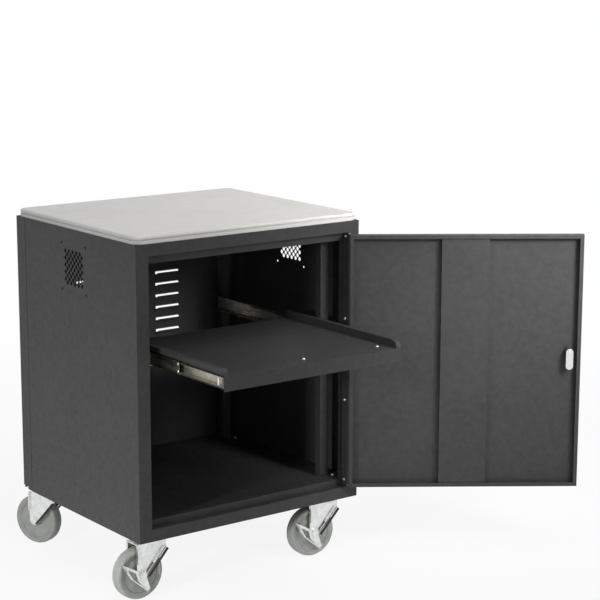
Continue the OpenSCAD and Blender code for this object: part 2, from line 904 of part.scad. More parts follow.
// One leg of a fork with its front and rear edges turned outward
module fork_leg() {
    top = [-race_r, crown_z - 15];
    low = [trail - 12, axle_z - 4];
    translate([0, leg_outer, 0]) rotate([90, 0, 0]) linear_extrude(fork_t) leg_section();
    translate([0, leg_outer + fork_edge, 0]) rotate([90, 0, 0]) linear_extrude(fork_edge + sliver) {
        edge_strip(top + 0.02 * (low - top), top + 0.6 * (low - top));
        edge_strip([trail + 14, axle_z + 28], [trail + 14, crown_z - edge_in]);
    }
}

// Fork: crown with the lower race and two legs
module fork(i) {
    color(zinc) in_swivel(i) difference() {
        union() {
            translate([0, 0, crown_z - fork_t]) cylinder(h = fork_t, r = race_r + 4);
            translate([0, -leg_outer, crown_z - fork_t]) cube([trail + 14, 2 * leg_outer, fork_t]);
            rotate_extrude() polygon([[race_r + 0.5, crown_z - sliver], [race_r + 4, crown_z - sliver],
                [race_r + 4, crown_z + 2], [race_r + 2.5, crown_z + 3.5], [race_r + 0.5, crown_z + 3.5]]);
            fork_leg();
            mirror([0, 1, 0]) fork_leg();
        }
        translate([0, 0, crown_z - fork_t - 1]) cylinder(h = fork_t + 2, r = king_r + 0.1);
        bar_y(trail, axle_z, axle_r + 0.1, -leg_outer - 1, leg_outer + 1);
    }
}

module fork_front_left() { fork(0); }
module fork_front_right() { fork(1); }
module fork_rear_left() { fork(2); }
module fork_rear_right() { fork(3); }

// Axle bolt with its head on the outer side and its nut on the other
module axle(i, lever_space) {
    head = leg_outer + lever_space;
    color(zinc) in_swivel(i) {
        bar_y(trail, axle_z, axle_r, -leg_outer - 7, head + 1);
        translate([trail, head, axle_z]) rotate([-90, 0, 0])
            cylinder(h = nut_h, r = axle_r + 4, $fn = 6);
        translate([trail, -leg_outer - nut_h, axle_z]) rotate([-90, 0, 0])
            cylinder(h = nut_h, r = axle_r + 4, $fn = 6);
    }
}

module axle_front_left() { axle(0, lever_t + 2 * lever_gap); }
module axle_front_right() { axle(1, lever_t + 2 * lever_gap); }
module axle_rear_left() { axle(2, 0); }
module axle_rear_right() { axle(3, 0); }

// Wheel core turned about its axle: hub, web and rim
module wheel(i) {
    rim_half = tread_w / 2 - 2;
    section = [[axle_r + running, -hub_half], [hub_r, -hub_half], [hub_r + 3, -rim_half + 3],
        [rim_r - 6, -rim_half + 4], [rim_r - 2, -rim_half], [rim_r, -rim_half], [rim_r, rim_half],
        [rim_r - 2, rim_half], [rim_r - 6, rim_half - 4], [hub_r + 3, rim_half - 3],
        [hub_r, hub_half], [axle_r + running, hub_half]];
    color(core_grey) in_swivel(i) translate([trail, 0, axle_z]) rotate([90, 0, 0])
        rotate_extrude($fn = 96) polygon(section);
}

module wheel_front_left() { wheel(0); }
module wheel_front_right() { wheel(1); }
module wheel_rear_left() { wheel(2); }
module wheel_rear_right() { wheel(3); }

// Rubber tread with a crowned face
module tread(i) {
    half = tread_w / 2;
    section = [[rim_r, -half + 2], [rim_r + 4, -half], [wheel_r - 3, -half + 1], [wheel_r - 0.6, -half + 5],
        [wheel_r, -half + 9], [wheel_r, half - 9], [wheel_r - 0.6, half - 5], [wheel_r - 3, half - 1],
        [rim_r + 4, half], [rim_r, half - 2]];
    color(tyre_grey) in_swivel(i) translate([trail, 0, axle_z]) rotate([90, 0, 0])
        rotate_extrude($fn = 96) polygon(section);
}

module tread_front_left() { tread(0); }
module tread_front_right() { tread(1); }
module tread_rear_left() { tread(2); }
module tread_rear_right() { tread(3); }

// Folded edge of a brake lever along most of the line between two points
module lever_edge(a, b) {
    run = b - a;
    translate([0, lever_fold - lever_t, 0]) rotate([90, 0, 0]) linear_extrude(lever_fold - lever_t / 2)
        translate(a + 0.04 * run) rotate(atan2(run.y, run.x))
            translate([0, edge_in]) square([0.92 * norm(run), lever_t]);
}

// Brake lever on the axle: foot tab above the rim, tail below the hub
module brake_lever(i) {
    foot_top = lever_foot;
    foot_low = lever_foot - [5, 16];
    foot = foot_low - foot_top;
    elbow = [30, -8];
    hub_top = [11, 10];
    tail_front = [-21, -38];
    tail_end = [-13, -44];
    color(zinc) in_swivel(i) translate([trail, leg_outer + lever_gap + lever_t, axle_z]) difference() {
        union() {
            rotate([90, 0, 0]) linear_extrude(lever_t) {
                circle(lever_hub_r);
                polygon([foot_top, hub_top, [-10, -4], tail_front, tail_end, elbow, foot_low]);
            }
            lever_edge(foot_top, hub_top);
            lever_edge(tail_end, elbow);
            translate([foot_top.x, 0, foot_top.y]) rotate([0, -atan2(foot.y, foot.x), 0])
                translate([-edge_in, -lever_t / 2, -1])
                    cube([norm(foot) + 2 * edge_in, lever_t / 2 + lever_tab, lever_t]);
        }
        bar_y(0, 0, axle_r + running, -lever_t - 1, lever_t + 1);
    }
}

module brake_lever_front_left() { brake_lever(0); }
module brake_lever_front_right() { brake_lever(1); }

worktop();
side_panel_left();
side_panel_right();
back_panel();
floor_pan();
ceiling_pan();
stile_left();
stile_right();
top_rail();
bottom_rail();
base_channel_front();
base_channel_rear();
upright_front_left();
upright_front_right();
upright_rear_left();
upright_rear_right();
slide_outer_left();
slide_outer_right();
slide_middle_left();
slide_middle_right();
slide_inner_left();
slide_inner_right();
ball_cages();
cabinet_screws();
hinge_leaf_frame();
hinge_leaf_door();
hinge_pin();
door_panel();
door_stiffener();
lock_housing();
lock_plug();
lock_cam();
cam_screw();
tray_deck();
tray_side_left();
tray_side_right();
tray_rivets();
caster_bolts();
caster_plate_front_left();
caster_plate_front_right();
caster_plate_rear_left();
caster_plate_rear_right();
fork_front_left();
fork_front_right();
fork_rear_left();
fork_rear_right();
axle_front_left();
axle_front_right();
axle_rear_left();
axle_rear_right();
wheel_front_left();
wheel_front_right();
wheel_rear_left();
wheel_rear_right();
tread_front_left();
tread_front_right();
tread_rear_left();
tread_rear_right();
brake_lever_front_left();
brake_lever_front_right();
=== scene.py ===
import json
import math

import bmesh
import bpy
from mathutils import Euler, Matrix, Vector


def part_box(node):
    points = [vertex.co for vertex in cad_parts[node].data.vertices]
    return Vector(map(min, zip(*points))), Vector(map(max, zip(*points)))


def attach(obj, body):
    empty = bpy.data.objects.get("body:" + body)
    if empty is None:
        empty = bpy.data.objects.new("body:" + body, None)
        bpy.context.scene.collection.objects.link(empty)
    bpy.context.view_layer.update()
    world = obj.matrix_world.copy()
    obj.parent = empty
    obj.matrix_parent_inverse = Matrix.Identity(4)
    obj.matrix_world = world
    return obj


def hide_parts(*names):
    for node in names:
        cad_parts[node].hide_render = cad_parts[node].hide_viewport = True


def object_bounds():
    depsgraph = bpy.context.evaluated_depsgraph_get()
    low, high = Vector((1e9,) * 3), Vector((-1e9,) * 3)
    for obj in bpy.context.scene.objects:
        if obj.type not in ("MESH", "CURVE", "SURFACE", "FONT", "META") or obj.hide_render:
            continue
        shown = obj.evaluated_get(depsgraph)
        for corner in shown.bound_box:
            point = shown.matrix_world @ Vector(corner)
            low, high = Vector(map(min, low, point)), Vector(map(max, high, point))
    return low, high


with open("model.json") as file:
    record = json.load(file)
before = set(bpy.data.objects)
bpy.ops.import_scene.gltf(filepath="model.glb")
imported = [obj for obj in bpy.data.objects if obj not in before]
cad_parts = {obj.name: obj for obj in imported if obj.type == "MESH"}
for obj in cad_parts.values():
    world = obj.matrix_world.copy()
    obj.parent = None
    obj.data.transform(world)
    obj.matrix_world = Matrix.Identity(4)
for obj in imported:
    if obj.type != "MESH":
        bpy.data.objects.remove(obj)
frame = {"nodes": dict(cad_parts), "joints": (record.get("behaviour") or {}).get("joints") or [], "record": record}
cad_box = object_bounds()

# Colours, linear
PAINT = (0.040, 0.039, 0.039)
PAINT_DUST = (0.060, 0.059, 0.056)
TOP_GREY = (0.620, 0.607, 0.575)
TOP_STAIN = (0.500, 0.485, 0.450)
ZINC = (0.800, 0.810, 0.800)
ZINC_DULL = (0.620, 0.630, 0.625)
# Slides' yellow zinc: the golden tone is real, made darker than the metal is as painted shade and a painted dark
# reflection for their place along the tray's sides
SLIDE_ZINC_SHADED = (0.420, 0.400, 0.330)
SLIDE_DULL_SHADED = (0.290, 0.275, 0.215)
WHEEL_GREY = (0.340, 0.348, 0.320)
WHEEL_DARK = (0.205, 0.212, 0.190)
# Near-black painted shade: the whole colour of the forks' flanges, and with its own dark finish that of the lock's
# barrel
SHADE_BLACK = (0.022, 0.022, 0.021)
SHADE_BLACK_DEEP = (0.012, 0.012, 0.011)
CHROME = (0.780, 0.780, 0.770)
FLOOR_GREY = (0.900, 0.900, 0.900)
AMBIENT = (0.93, 0.95, 1.0)
WHITE = (1.0, 1.0, 1.0)

# Strength of the studio's even light on the cart
AMBIENT_STRENGTH = 0.42

# How much an edge is softened in the shading of each kind of surface, in mm
PAINT_EDGE = 0.6
LAMINATE_EDGE = 1.6
PLATE_EDGE = 0.5
CHROME_EDGE = 0.4
MOULDED_EDGE = 0.8

# Sockets of a Mix node that blends two colours
MIX_FIRST = 6
MIX_SECOND = 7
MIX_RESULT = 2

# Names of the two sides and of the four casters
SIDES = ("left", "right")
CASTERS = ("front_left", "front_right", "rear_left", "rear_right")

# Directions of the frame
RIGHT = Vector((1.0, 0.0, 0.0))
BACK = Vector((0.0, 1.0, 0.0))
UP = Vector((0.0, 0.0, 1.0))
AXES = (RIGHT, BACK, UP)

# All sizes from here on are in metres, unless a line says mm
MM = 0.001

# Floor under the wheels, and the share of plain white that the camera sees in it near the cart and far away
FLOOR_Z = cad_box[0][2]
FLOOR_SIZE = 60.0
WHITE_NEAR = 0.88
WHITE_FAR = 1.0
NEAR_RADIUS = 1.0
FAR_RADIUS = 3.0

# Camera that fits the photo: focal length and picture width in pixels, sensor width in mm
FOCAL_PIXELS = 1819.4
PICTURE_PIXELS = 600.0
SENSOR = 36.0
CAMERA_PLACE = (-2.465, -3.7563, 0.6706)
CAMERA_PITCH = math.radians(11.328)
CAMERA_YAW = math.radians(36.889)
CAMERA_ROLL = math.radians(0.115)
CAMERA_REACH = 100.0

# Thickness of sheet metal, and the steps in a full turn and in a bend
SHEET = 1.2 * MM
ROUND_STEPS = 24
BEND_STEPS = 4

# Corners of a CAD mesh that are nearer than this are one corner
SAME_PLACE = 0.001 * MM

# Door's pan: outer radius of its bends, width of its lips and radius of the lock's hole
BEND = 2.0 * MM
DOOR_LIP = 10.0 * MM
LOCK_HOLE = 9.1 * MM

# Screw heads, as shares of radius and height from the underside to the top of the dome
HEAD_SHAPE = ((0.0, 0.0), (1.0, 0.0), (1.0, 0.2), (0.93, 0.5), (0.75, 0.8), (0.5, 1.0))
HINGE_HEAD_RADIUS = 4.4 * MM
HINGE_HEAD_HEIGHT = 2.4 * MM

# Screws in the uprights' feet: height of the CAD's flat head and of the dome that takes its place, and the
# shank's radius as a share of the head's
FOOT_HEAD = 2.0 * MM
FOOT_DOME = 2.8 * MM
FOOT_SHANK = 0.5

# Cross recess: width of a slot, and its length and depth as shares of the head's radius and height
RECESS_WIDTH = 1.1 * MM
RECESS_LENGTH = 1.1
RECESS_DEPTH = 0.5

# Blind rivets in the tray's deck: their shape in shares, and how much they outgrow the CAD's flat ones
RIVET_SHAPE = ((0.0, 0.0), (1.0, 0.0), (1.0, 0.25), (0.8, 0.75), (0.5, 1.0), (0.38, 1.0), (0.3, 0.55))
RIVET_WIDER = 1.5
RIVET_TALLER = 1.8

# Slides: radius of the access holes, their distances from each member's front end in mm, and how far the
# middle members' front end lies behind the CAD's
ACCESS_HOLE = 3.8 * MM
MIDDLE_HOLES = (32.0, 190.0)
INNER_HOLES = (11.0, 205.0, 365.0)
MIDDLE_SETBACK = 28.0 * MM

# Rivets at the front end of the slides' middle members: radius, dome in shares of the radius, distance
# behind the end, and distance from the middle line as a share of the member's height
END_RIVET = 3.2 * MM
END_RIVET_DOME = ((1.0, 0.1), (0.7, 0.28), (0.35, 0.36))
END_RIVET_BACK = 1.6 * END_RIVET
END_RIVET_LEVEL = 0.3

# Stop tabs on the slides' inner members: thickness, depth and height, and distance behind the front end
STOP_TAB = (2.5 * MM, 7.0 * MM, 17.0 * MM)
STOP_TAB_BACK = 25.0 * MM

# Louvres of the back panel: rows, pitch, distance of each column from the middle, lower edge of the top
# row's opening, reach of the hoods behind the side panels, width of a lip and its ends above the lower edge
LOUVRE_ROWS = 6
LOUVRE_PITCH = 31.3 * MM
LOUVRE_OFFSET = 120.0 * MM
LOUVRE_TOP = -213.5 * MM
LOUVRE_REACH = 6.0 * MM
LOUVRE_WIDTH = 79.0 * MM
LIP_BOTTOM = 0.6 * MM
LIP_TOP = 5.4 * MM

# Outlines seen along a caster's axle, as (forward, up) in mm round it, and how far a fork's flange folds in
FLANGE_OUTLINE = ((-66.0, 57.5), (-12.0, -4.0), (-14.2, -6.0), (-69.2, 54.6))
LEVER_OPENING = ((44.0, 22.0), (19.0, 7.0), (13.0, -14.0), (-7.0, -34.5), (26.0, -7.0))
FLANGE_FOLD = 5.0 * MM


class Shader:
    """A material's node tree, with short calls for the nodes that the looks here share."""

    def __init__(self, name):
        self.material = bpy.data.materials.new(name)
        self.material.use_nodes = True
        self.nodes = self.material.node_tree.nodes
        self.links = self.material.node_tree.links
        self.nodes.clear()
        self.out = self.nodes.new("ShaderNodeOutputMaterial")
        self.bsdf = self.nodes.new("ShaderNodeBsdfPrincipled")
        self.links.new(self.bsdf.outputs[0], self.out.inputs["Surface"])
        self.place = self.nodes.new("ShaderNodeTexCoord").outputs["Object"]

    def constant(self, **values):
        """Sets the surface's plain values; an underscore stands for a space."""
        for name, value in values.items():
            socket = self.bsdf.inputs[name.replace("_", " ")]
            socket.default_value = value

    def use(self, socket, value):
        """Feeds a value into a socket of the surface."""
        self.links.new(value, self.bsdf.inputs[socket])

    def stretched(self, scale):
        """The piece's own coordinates, scaled by another amount along each axis."""
        mapping = self.nodes.new("ShaderNodeMapping")
        mapping.inputs["Scale"].default_value = scale
        self.links.new(self.place, mapping.inputs["Vector"])
        return mapping.outputs[0]

    def noise(self, scale, detail=3.0, rough=0.55, vector=None):
        node = self.nodes.new("ShaderNodeTexNoise")
        node.inputs["Scale"].default_value = scale
        node.inputs["Detail"].default_value = detail
        node.inputs["Roughness"].default_value = rough
        self.links.new(vector or self.place, node.inputs["Vector"])
        return node.outputs["Fac"]

    def spread(self, value, low, high, to_low=0.0, to_high=1.0):
        """Maps the range from low to high to another range, and cuts off what lies outside."""
        node = self.nodes.new("ShaderNodeMapRange")
        node.inputs["From Min"].default_value = low
        node.inputs["From Max"].default_value = high
        node.inputs["To Min"].default_value = to_low
        node.inputs["To Max"].default_value = to_high
        self.links.new(value, node.inputs["Value"])
        return node.outputs[0]

    def times(self, first, second):
        """Product of a value with a number or with another value."""
        node = self.nodes.new("ShaderNodeMath")
        node.operation = "MULTIPLY"
        self.links.new(first, node.inputs[0])
        if isinstance(second, float):
            node.inputs[1].default_value = second
        else:
            self.links.new(second, node.inputs[1])
        return node.outputs[0]

    def blend(self, share, first, second):
        """Mixes two colours, each a plain colour or the output of a node."""
        node = self.nodes.new("ShaderNodeMix")
        node.data_type = "RGBA"
        self.links.new(share, node.inputs["Factor"])
        for number, colour in ((MIX_FIRST, first), (MIX_SECOND, second)):
            if isinstance(colour, tuple):
                node.inputs[number].default_value = (*colour, 1.0)
            else:
                self.links.new(colour, node.inputs[number])
        return node.outputs[MIX_RESULT]

    def relief(self, height, depth, strength, edge):
        """Fine relief from a height pattern over softened edges, with depth and edge in mm."""
        soft = self.nodes.new("ShaderNodeBevel")
        soft.samples = 4
        soft.inputs["Radius"].default_value = edge * MM
        bump = self.nodes.new("ShaderNodeBump")
        bump.inputs["Distance"].default_value = depth * MM
        bump.inputs["Strength"].default_value = strength
        self.links.new(height, bump.inputs["Height"])
        self.links.new(soft.outputs[0], bump.inputs["Normal"])
        self.use("Normal", bump.outputs[0])


def toned(colour, factor):
    return tuple(factor * channel for channel in colour)


def powder_coat(name, colour, dust):
    """Textured powder coat: orange peel, slight mottling and dust in broad soft patches."""
    look = Shader(name)
    mottle = look.spread(look.noise(60.0, detail=5.0, rough=0.65), low=0.35, high=0.65)
    patches = look.spread(look.noise(4.0, detail=4.0, rough=0.6), low=0.45, high=0.8)
    base = look.blend(mottle, toned(colour, 0.88), toned(colour, 1.12))
    look.use("Base Color", look.blend(look.times(patches, 0.35), base, dust))
    look.use("Roughness", look.spread(look.noise(90.0), low=0.3, high=0.7, to_low=0.38, to_high=0.52))
    peel = look.noise(620.0, detail=2.0, rough=0.5)
    look.relief(peel, depth=0.12, strength=0.5, edge=PAINT_EDGE)
    look.constant(Metallic=0.0, IOR=1.5, Specular_IOR_Level=0.2)
    return look.material


def laminate(name):
    """Light grey worktop: fine pearl texture with faint scuffs and yellowing."""
    look = Shader(name)
    scuff = look.spread(look.noise(5.0, detail=6.0, rough=0.6), low=0.5, high=0.75)
    speck = look.spread(look.noise(900.0, detail=2.0, rough=0.6), low=0.62, high=0.72)
    base = look.blend(look.times(scuff, 0.4), TOP_GREY, TOP_STAIN)
    look.use("Base Color", look.blend(look.times(speck, 0.25), base, TOP_STAIN))
    sheen = look.noise(30.0, detail=4.0)
    look.use("Roughness", look.spread(sheen, low=0.3, high=0.7, to_low=0.42, to_high=0.58))
    pearl = look.noise(1400.0, detail=2.0)
    look.relief(pearl, depth=0.05, strength=0.4, edge=LAMINATE_EDGE)
    look.constant(Metallic=0.0, IOR=1.49)
    return look.material


def zinc_plate(name, bright, dull, grain, rough):
    """Zinc plate with soft clouding, duller patches and streaks along the axis of the smallest grain."""
    look = Shader(name)
    streaks = look.noise(40.0, detail=4.0, rough=0.6, vector=look.stretched(grain))
    cloud = look.spread(look.noise(55.0, detail=5.0, rough=0.65), low=0.4, high=0.7)
    look.use("Base Color", look.blend(cloud, bright, dull))
    sheen = look.spread(streaks, low=0.3, high=0.7, to_low=rough - 0.08, to_high=rough + 0.1)
    look.use("Roughness", sheen)
    look.relief(streaks, depth=0.08, strength=0.5, edge=PLATE_EDGE)
    look.constant(Metallic=1.0)
    return look.material


def chrome(name):
    """Polished plating with light handling marks."""
    look = Shader(name)
    marks = look.spread(look.noise(300.0, detail=5.0, rough=0.7), low=0.5, high=0.75)
    look.use("Base Color", look.blend(marks, CHROME, ZINC_DULL))
    look.use("Roughness", look.spread(marks, low=0.0, high=1.0, to_low=0.12, to_high=0.3))
    look.relief(look.noise(800.0, detail=2.0), depth=0.03, strength=0.3, edge=CHROME_EDGE)
    look.constant(Metallic=1.0)
    return look.material


def moulded(name, colour, dirt_and_shade, rough):
    """Dull plastic, rubber or blackened metal with scuffs and dirt in patches; given a near-black colour it is
    painted shade, and its patches are deeper painted shade.
    """
    look = Shader(name)
    patches = look.spread(look.noise(35.0, detail=6.0, rough=0.65), low=0.4, high=0.75)
    fine = look.noise(450.0, detail=3.0, rough=0.6)
    base = look.blend(fine, toned(colour, 0.93), toned(colour, 1.07))
    look.use("Base Color", look.blend(look.times(patches, 0.6), base, dirt_and_shade))
    sheen = look.spread(fine, low=0.3, high=0.7, to_low=rough - 0.06, to_high=rough + 0.08)
    look.use("Roughness", sheen)
    look.relief(fine, depth=0.1, strength=0.4, edge=MOULDED_EDGE)
    look.constant(Metallic=0.0, IOR=1.5)
    return look.material


def make_looks():
    """One look for each slot of the record, and two near-black ones that paint shade on single pieces."""
    return {
        "cabinet_paint": powder_coat("charcoal_powder_coat", PAINT, PAINT_DUST),
        "worktop": laminate("worktop_laminate"),
        "zinc": zinc_plate("zinc_plate", ZINC, ZINC_DULL, (1.0, 1.0, 0.3), 0.26),
        # Yellow zinc darkened as painted shade and painted dark reflection
        "slide_steel": zinc_plate("rolled_zinc_painted_shade", SLIDE_ZINC_SHADED, SLIDE_DULL_SHADED, (4.0, 0.15, 4.0), 0.3),
        "fastener_steel": zinc_plate("fastener_zinc", ZINC, ZINC_DULL, (1.0, 1.0, 1.0), 0.3),
        # Near-black painted shade on the forks' flanges
        "painted_shade_zinc": moulded("zinc_painted_shade", SHADE_BLACK, SHADE_BLACK_DEEP, 0.85),
        # Lock barrel's dark finish together with painted shade of the recess beside the cam
        "dark_steel_and_shade": moulded("blackened_steel_and_shade", SHADE_BLACK, SHADE_BLACK_DEEP, 0.45),
        "lock_chrome": chrome("lock_chrome"),
        "wheel_core": moulded("moulded_wheel_core", WHEEL_GREY, WHEEL_DARK, 0.5),
        "tread": moulded("moulded_tread", WHEEL_GREY, WHEEL_DARK, 0.62),
    }


def finish_nodes(looks):
    """Gives each CAD node the look of its slot; the lock's barrel gets a near-black look, its own dark finish
    together with painted shade of the recess beside its cam.
    """
    for part in frame["record"]["subparts"]:
        for material_slot in frame["nodes"][part["node"]].material_slots:
            material_slot.material = looks[part["material_slot"]]
    # Near-black barrel: its dark finish and painted shade of the recess beside the cam
    frame["nodes"]["lock_housing"].material_slots[0].material = looks["dark_steel_and_shade"]


def joint(name):
    for one in frame["joints"]:
        if one["name"] == name:
            return one
    raise KeyError(name)


def extent(node, direction):
    """Lowest and highest reach of a CAD node along a direction."""
    reach = [corner.co.dot(direction) for corner in frame["nodes"][node].data.vertices]
    return min(reach), max(reach)


def new_piece(name, mesh, looks, slot, body, stands_for=(), look=None):
    """Puts a mesh into the scene as a piece that rides on a body and may stand for CAD nodes."""
    piece = bpy.data.objects.new(name, mesh)
    bpy.context.scene.collection.objects.link(piece)
    mesh.materials.clear()
    mesh.materials.append(looks[look or slot])
    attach(piece, body)
    if stands_for:
        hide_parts(*stands_for)


def mesh_of(name, corners, faces):
    """Mesh from its corners and faces, with all the faces turned outwards."""
    mesh = bpy.data.meshes.new(name)
    mesh.from_pydata(corners, [], faces)
    work = bmesh.new()
    work.from_mesh(mesh)
    bmesh.ops.recalc_face_normals(work, faces=work.faces)
    work.to_mesh(mesh)
    work.free()
    return mesh


def turned(name, place, axis, profile):
    """Closed solid turned about an axis from (radius, height) points, with its first point on the axis."""
    side = axis.orthogonal().normalized()
    across = axis.cross(side)
    corners = [place + axis * profile[0][1]]
    for radius, height in profile[1:]:
        for step in range(ROUND_STEPS):
            angle = 2.0 * math.pi * step / ROUND_STEPS
            spoke = side * math.cos(angle) + across * math.sin(angle)
            corners.append(place + axis * height + spoke * radius)
    rings = len(profile) - 1
    faces = []
    for step in range(ROUND_STEPS):
        after = (step + 1) % ROUND_STEPS
        faces.append((0, 1 + step, 1 + after))
        for ring in range(rings - 1):
            low = 1 + ring * ROUND_STEPS
            high = low + ROUND_STEPS
            faces.append((low + step, high + step, high + after, low + after))
    last = 1 + (rings - 1) * ROUND_STEPS
    faces.append(tuple(last + step for step in range(ROUND_STEPS)))
    return mesh_of(name, corners, faces)


def scaled(shape, radius, height):
    """Profile of a turned solid from shares of its radius and height."""
    return [(share * radius, level * height) for share, level in shape]


def drill(place, axis, radius, length):
    """Round tool that cuts a hole from a place along an axis."""
    return turned("hole", place, axis, [(0.0, 0.0), (radius, 0.0), (radius, length)])


def block(name, place, axes, sizes):
    """Box round a place, with a size along each of three axes."""
    first, second, third = [axis * size for axis, size in zip(axes, sizes)]
    corners = []
    for i in (-0.5, 0.5):
        for j in (-0.5, 0.5):
            for k in (-0.5, 0.5):
                corners.append(place + first * i + second * j + third * k)
    faces = [(0, 1, 3, 2), (4, 6, 7, 5), (0, 4, 5, 1), (2, 3, 7, 6), (0, 2, 6, 4), (1, 5, 7, 3)]
    return mesh_of(name, corners, faces)


def joined(name, meshes):
    """One mesh that holds several, each still a solid of its own."""
    work = bmesh.new()
    for mesh in meshes:
        work.from_mesh(mesh)
    whole = bpy.data.meshes.new(name)
    work.to_mesh(whole)
    work.free()
    return whole


def cut(mesh, tools):
    """The mesh with the tools' solids taken out of it."""
    body = bpy.data.objects.new("work", mesh)
    tool = bpy.data.objects.new("tool", joined("tool", tools))
    for one in (body, tool):
        bpy.context.scene.collection.objects.link(one)
    change = body.modifiers.new("cut", "BOOLEAN")
    change.operation = "DIFFERENCE"
    change.object = tool
    graph = bpy.context.evaluated_depsgraph_get()
    result = bpy.data.meshes.new_from_object(body.evaluated_get(graph))
    result.name = mesh.name
    for one in (body, tool):
        bpy.data.objects.remove(one)
    return result


def islands(node):
    """Lowest and highest corners of each separate solid of a CAD node."""
    work = bmesh.new()
    work.from_mesh(frame["nodes"][node].data)
    bmesh.ops.remove_doubles(work, verts=work.verts, dist=SAME_PLACE)
    left = set(work.verts)
    boxes = []
    while left:
        front = [left.pop()]
        found = []
        while front:
            corner = front.pop()
            found.append(corner.co.copy())
            for edge in corner.link_edges:
                other = edge.other_vert(corner)
                if other in left:
                    left.remove(other)
                    front.append(other)
        low = Vector([min(place[i] for place in found) for i in range(3)])
        high = Vector([max(place[i] for place in found) for i in range(3)])
        boxes.append((low, high))
    work.free()
    return boxes


def arc(centre, radius, start, end):
    """Points of an arc in the plane of a profile, angles in degrees."""
    points = []
    for step in range(BEND_STEPS + 1):
        angle = math.radians(start + (end - start) * step / BEND_STEPS)
        points.append((centre[0] + radius * math.cos(angle), centre[1] + radius * math.sin(angle)))
    return points


def door_edge(depth):
    """Section of the door's edge from the outer face round to its inner side, as (inset, height)."""
    outer_bend = (BEND, BEND)
    inner_bend = (BEND, depth - BEND)
    section = arc(outer_bend, BEND, 270, 180)
    section += arc(inner_bend, BEND, 180, 90)
    section += [(DOOR_LIP, depth), (DOOR_LIP, depth - SHEET)]
    section += arc(inner_bend, BEND - SHEET, 90, 180)
    section += arc(outer_bend, BEND - SHEET, 180, 270)
    return section


def door_pan(looks):
    """Door's pan with rounded bends, narrow lips round its inner side and the hole of the lock."""
    lock = joint("lock_turn")
    inward = Vector(lock["axis"])
    along = UP.cross(inward)
    near, far = extent("door_panel", along)
    outer, inner = extent("door_panel", inward)
    low, high = extent("door_panel", UP)
    section = door_edge(inner - outer)
    corners = []
    for inset, height in section:
        for place, level in ((near + inset, low + inset), (far - inset, low + inset),
                             (far - inset, high - inset), (near + inset, high - inset)):
            corners.append(along * place + inward * (outer + height) + UP * level)
    faces = [(0, 1, 2, 3), tuple(range(len(corners) - 4, len(corners)))]
    for start in range(0, 4 * (len(section) - 1), 4):
        for side in range(4):
            after = (side + 1) % 4
            faces.append((start + side, start + after, start + 4 + after, start + 4 + side))
    centre = Vector(lock["pos_m"])
    entry = centre + inward * (outer - SHEET - centre.dot(inward))
    mesh = cut(mesh_of("door_pan", corners, faces), [drill(entry, inward, LOCK_HOLE, 4.0 * SHEET)])
    new_piece("door_pan", mesh, looks, "cabinet_paint", "door", ["door_panel"])


def screw_head(place, axis, radius, height):
    """Domed screw head with a cross recess, cut one slot after the other; place is under its middle."""
    head = turned("head", place, axis, scaled(HEAD_SHAPE, radius, height))
    side = axis.orthogonal().normalized()
    across = axis.cross(side)
    sizes = (RECESS_LENGTH * radius, RECESS_WIDTH, 2.0 * RECESS_DEPTH * height)
    for long_way, short_way in ((side, across), (across, side)):
        slot = block("recess", place + axis * height, (long_way, short_way, axis), sizes)
        head = cut(head, [slot])
    return head


def foot_screw(low, high, way):
    """Screw in an upright's foot or head, from the CAD screw's box and the way its head looks."""
    middle = 0.5 * (low + high)
    radius = 0.5 * (high.x - low.x)
    length = high.z - low.z - FOOT_HEAD
    base = Vector((middle.x, middle.y, low.z if way == UP else high.z))
    shank = [(0.0, 0.0), (FOOT_SHANK * radius, 0.0), (FOOT_SHANK * radius, length)]
    return [turned("shank", base, way, shank), screw_head(base + way * length, way, radius, FOOT_DOME)]


def cabinet_screw_heads(looks):
    """Screws of the hinge and of the uprights' feet, each with a domed head and a cross recess."""
    parts = []
    upright_low, upright_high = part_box("upright_front_left")
    half_way = 0.5 * (upright_low.z + upright_high.z)
    for low, high in islands("cabinet_screws"):
        middle = 0.5 * (low + high)
        is_flat_sideways = high.x - low.x < 0.5 * (high.z - low.z)
        if is_flat_sideways:
            place = Vector((high.x, middle.y, middle.z))
            parts.append(screw_head(place, -RIGHT, HINGE_HEAD_RADIUS, HINGE_HEAD_HEIGHT))
        else:
            parts += foot_screw(low, high, UP if middle.z < half_way else -UP)
    mesh = joined("cabinet_screw_heads", parts)
    new_piece("cabinet_screw_heads", mesh, looks, "fastener_steel", "cabinet", ["cabinet_screws"])


def tray_pop_rivets(looks):
    """Blind rivets in the deck: a low dome with the round mark of its pulled stem."""
    parts = []
    for low, high in islands("tray_rivets"):
        middle = 0.5 * (low + high)
        radius = 0.5 * RIVET_WIDER * (high.x - low.x)
        height = RIVET_TALLER * (high.z - low.z)
        place = Vector((middle.x, middle.y, low.z))
        parts.append(turned("rivet", place, UP, scaled(RIVET_SHAPE, radius, height)))
    mesh = joined("tray_pop_rivets", parts)
    new_piece("tray_pop_rivets", mesh, looks, "fastener_steel", "tray", ["tray_rivets"])


def slide_member(side, member, body, setback, hole_places, looks):
    """Copy of a slide's member with its front end set back and round access holes along its web."""
    node = "slide_" + member + "_" + side
    low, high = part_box(node)
    middle = 0.5 * (low + high)
    width = high.x - low.x + 2.0 * SHEET
    tools = []
    for distance in hole_places:
        start = Vector((low.x - SHEET, low.y + setback + distance * MM, middle.z))
        tools.append(drill(start, RIGHT, ACCESS_HOLE, width))
    if setback > 0.0:
        sizes = (width, 2.0 * setback, 2.0 * (high.z - low.z))
        tools.append(block("end", Vector((middle.x, low.y, middle.z)), AXES, sizes))
    mesh = cut(frame["nodes"][node].data.copy(), tools)
    new_piece(node + "_pierced", mesh, looks, "slide_steel", body, [node])


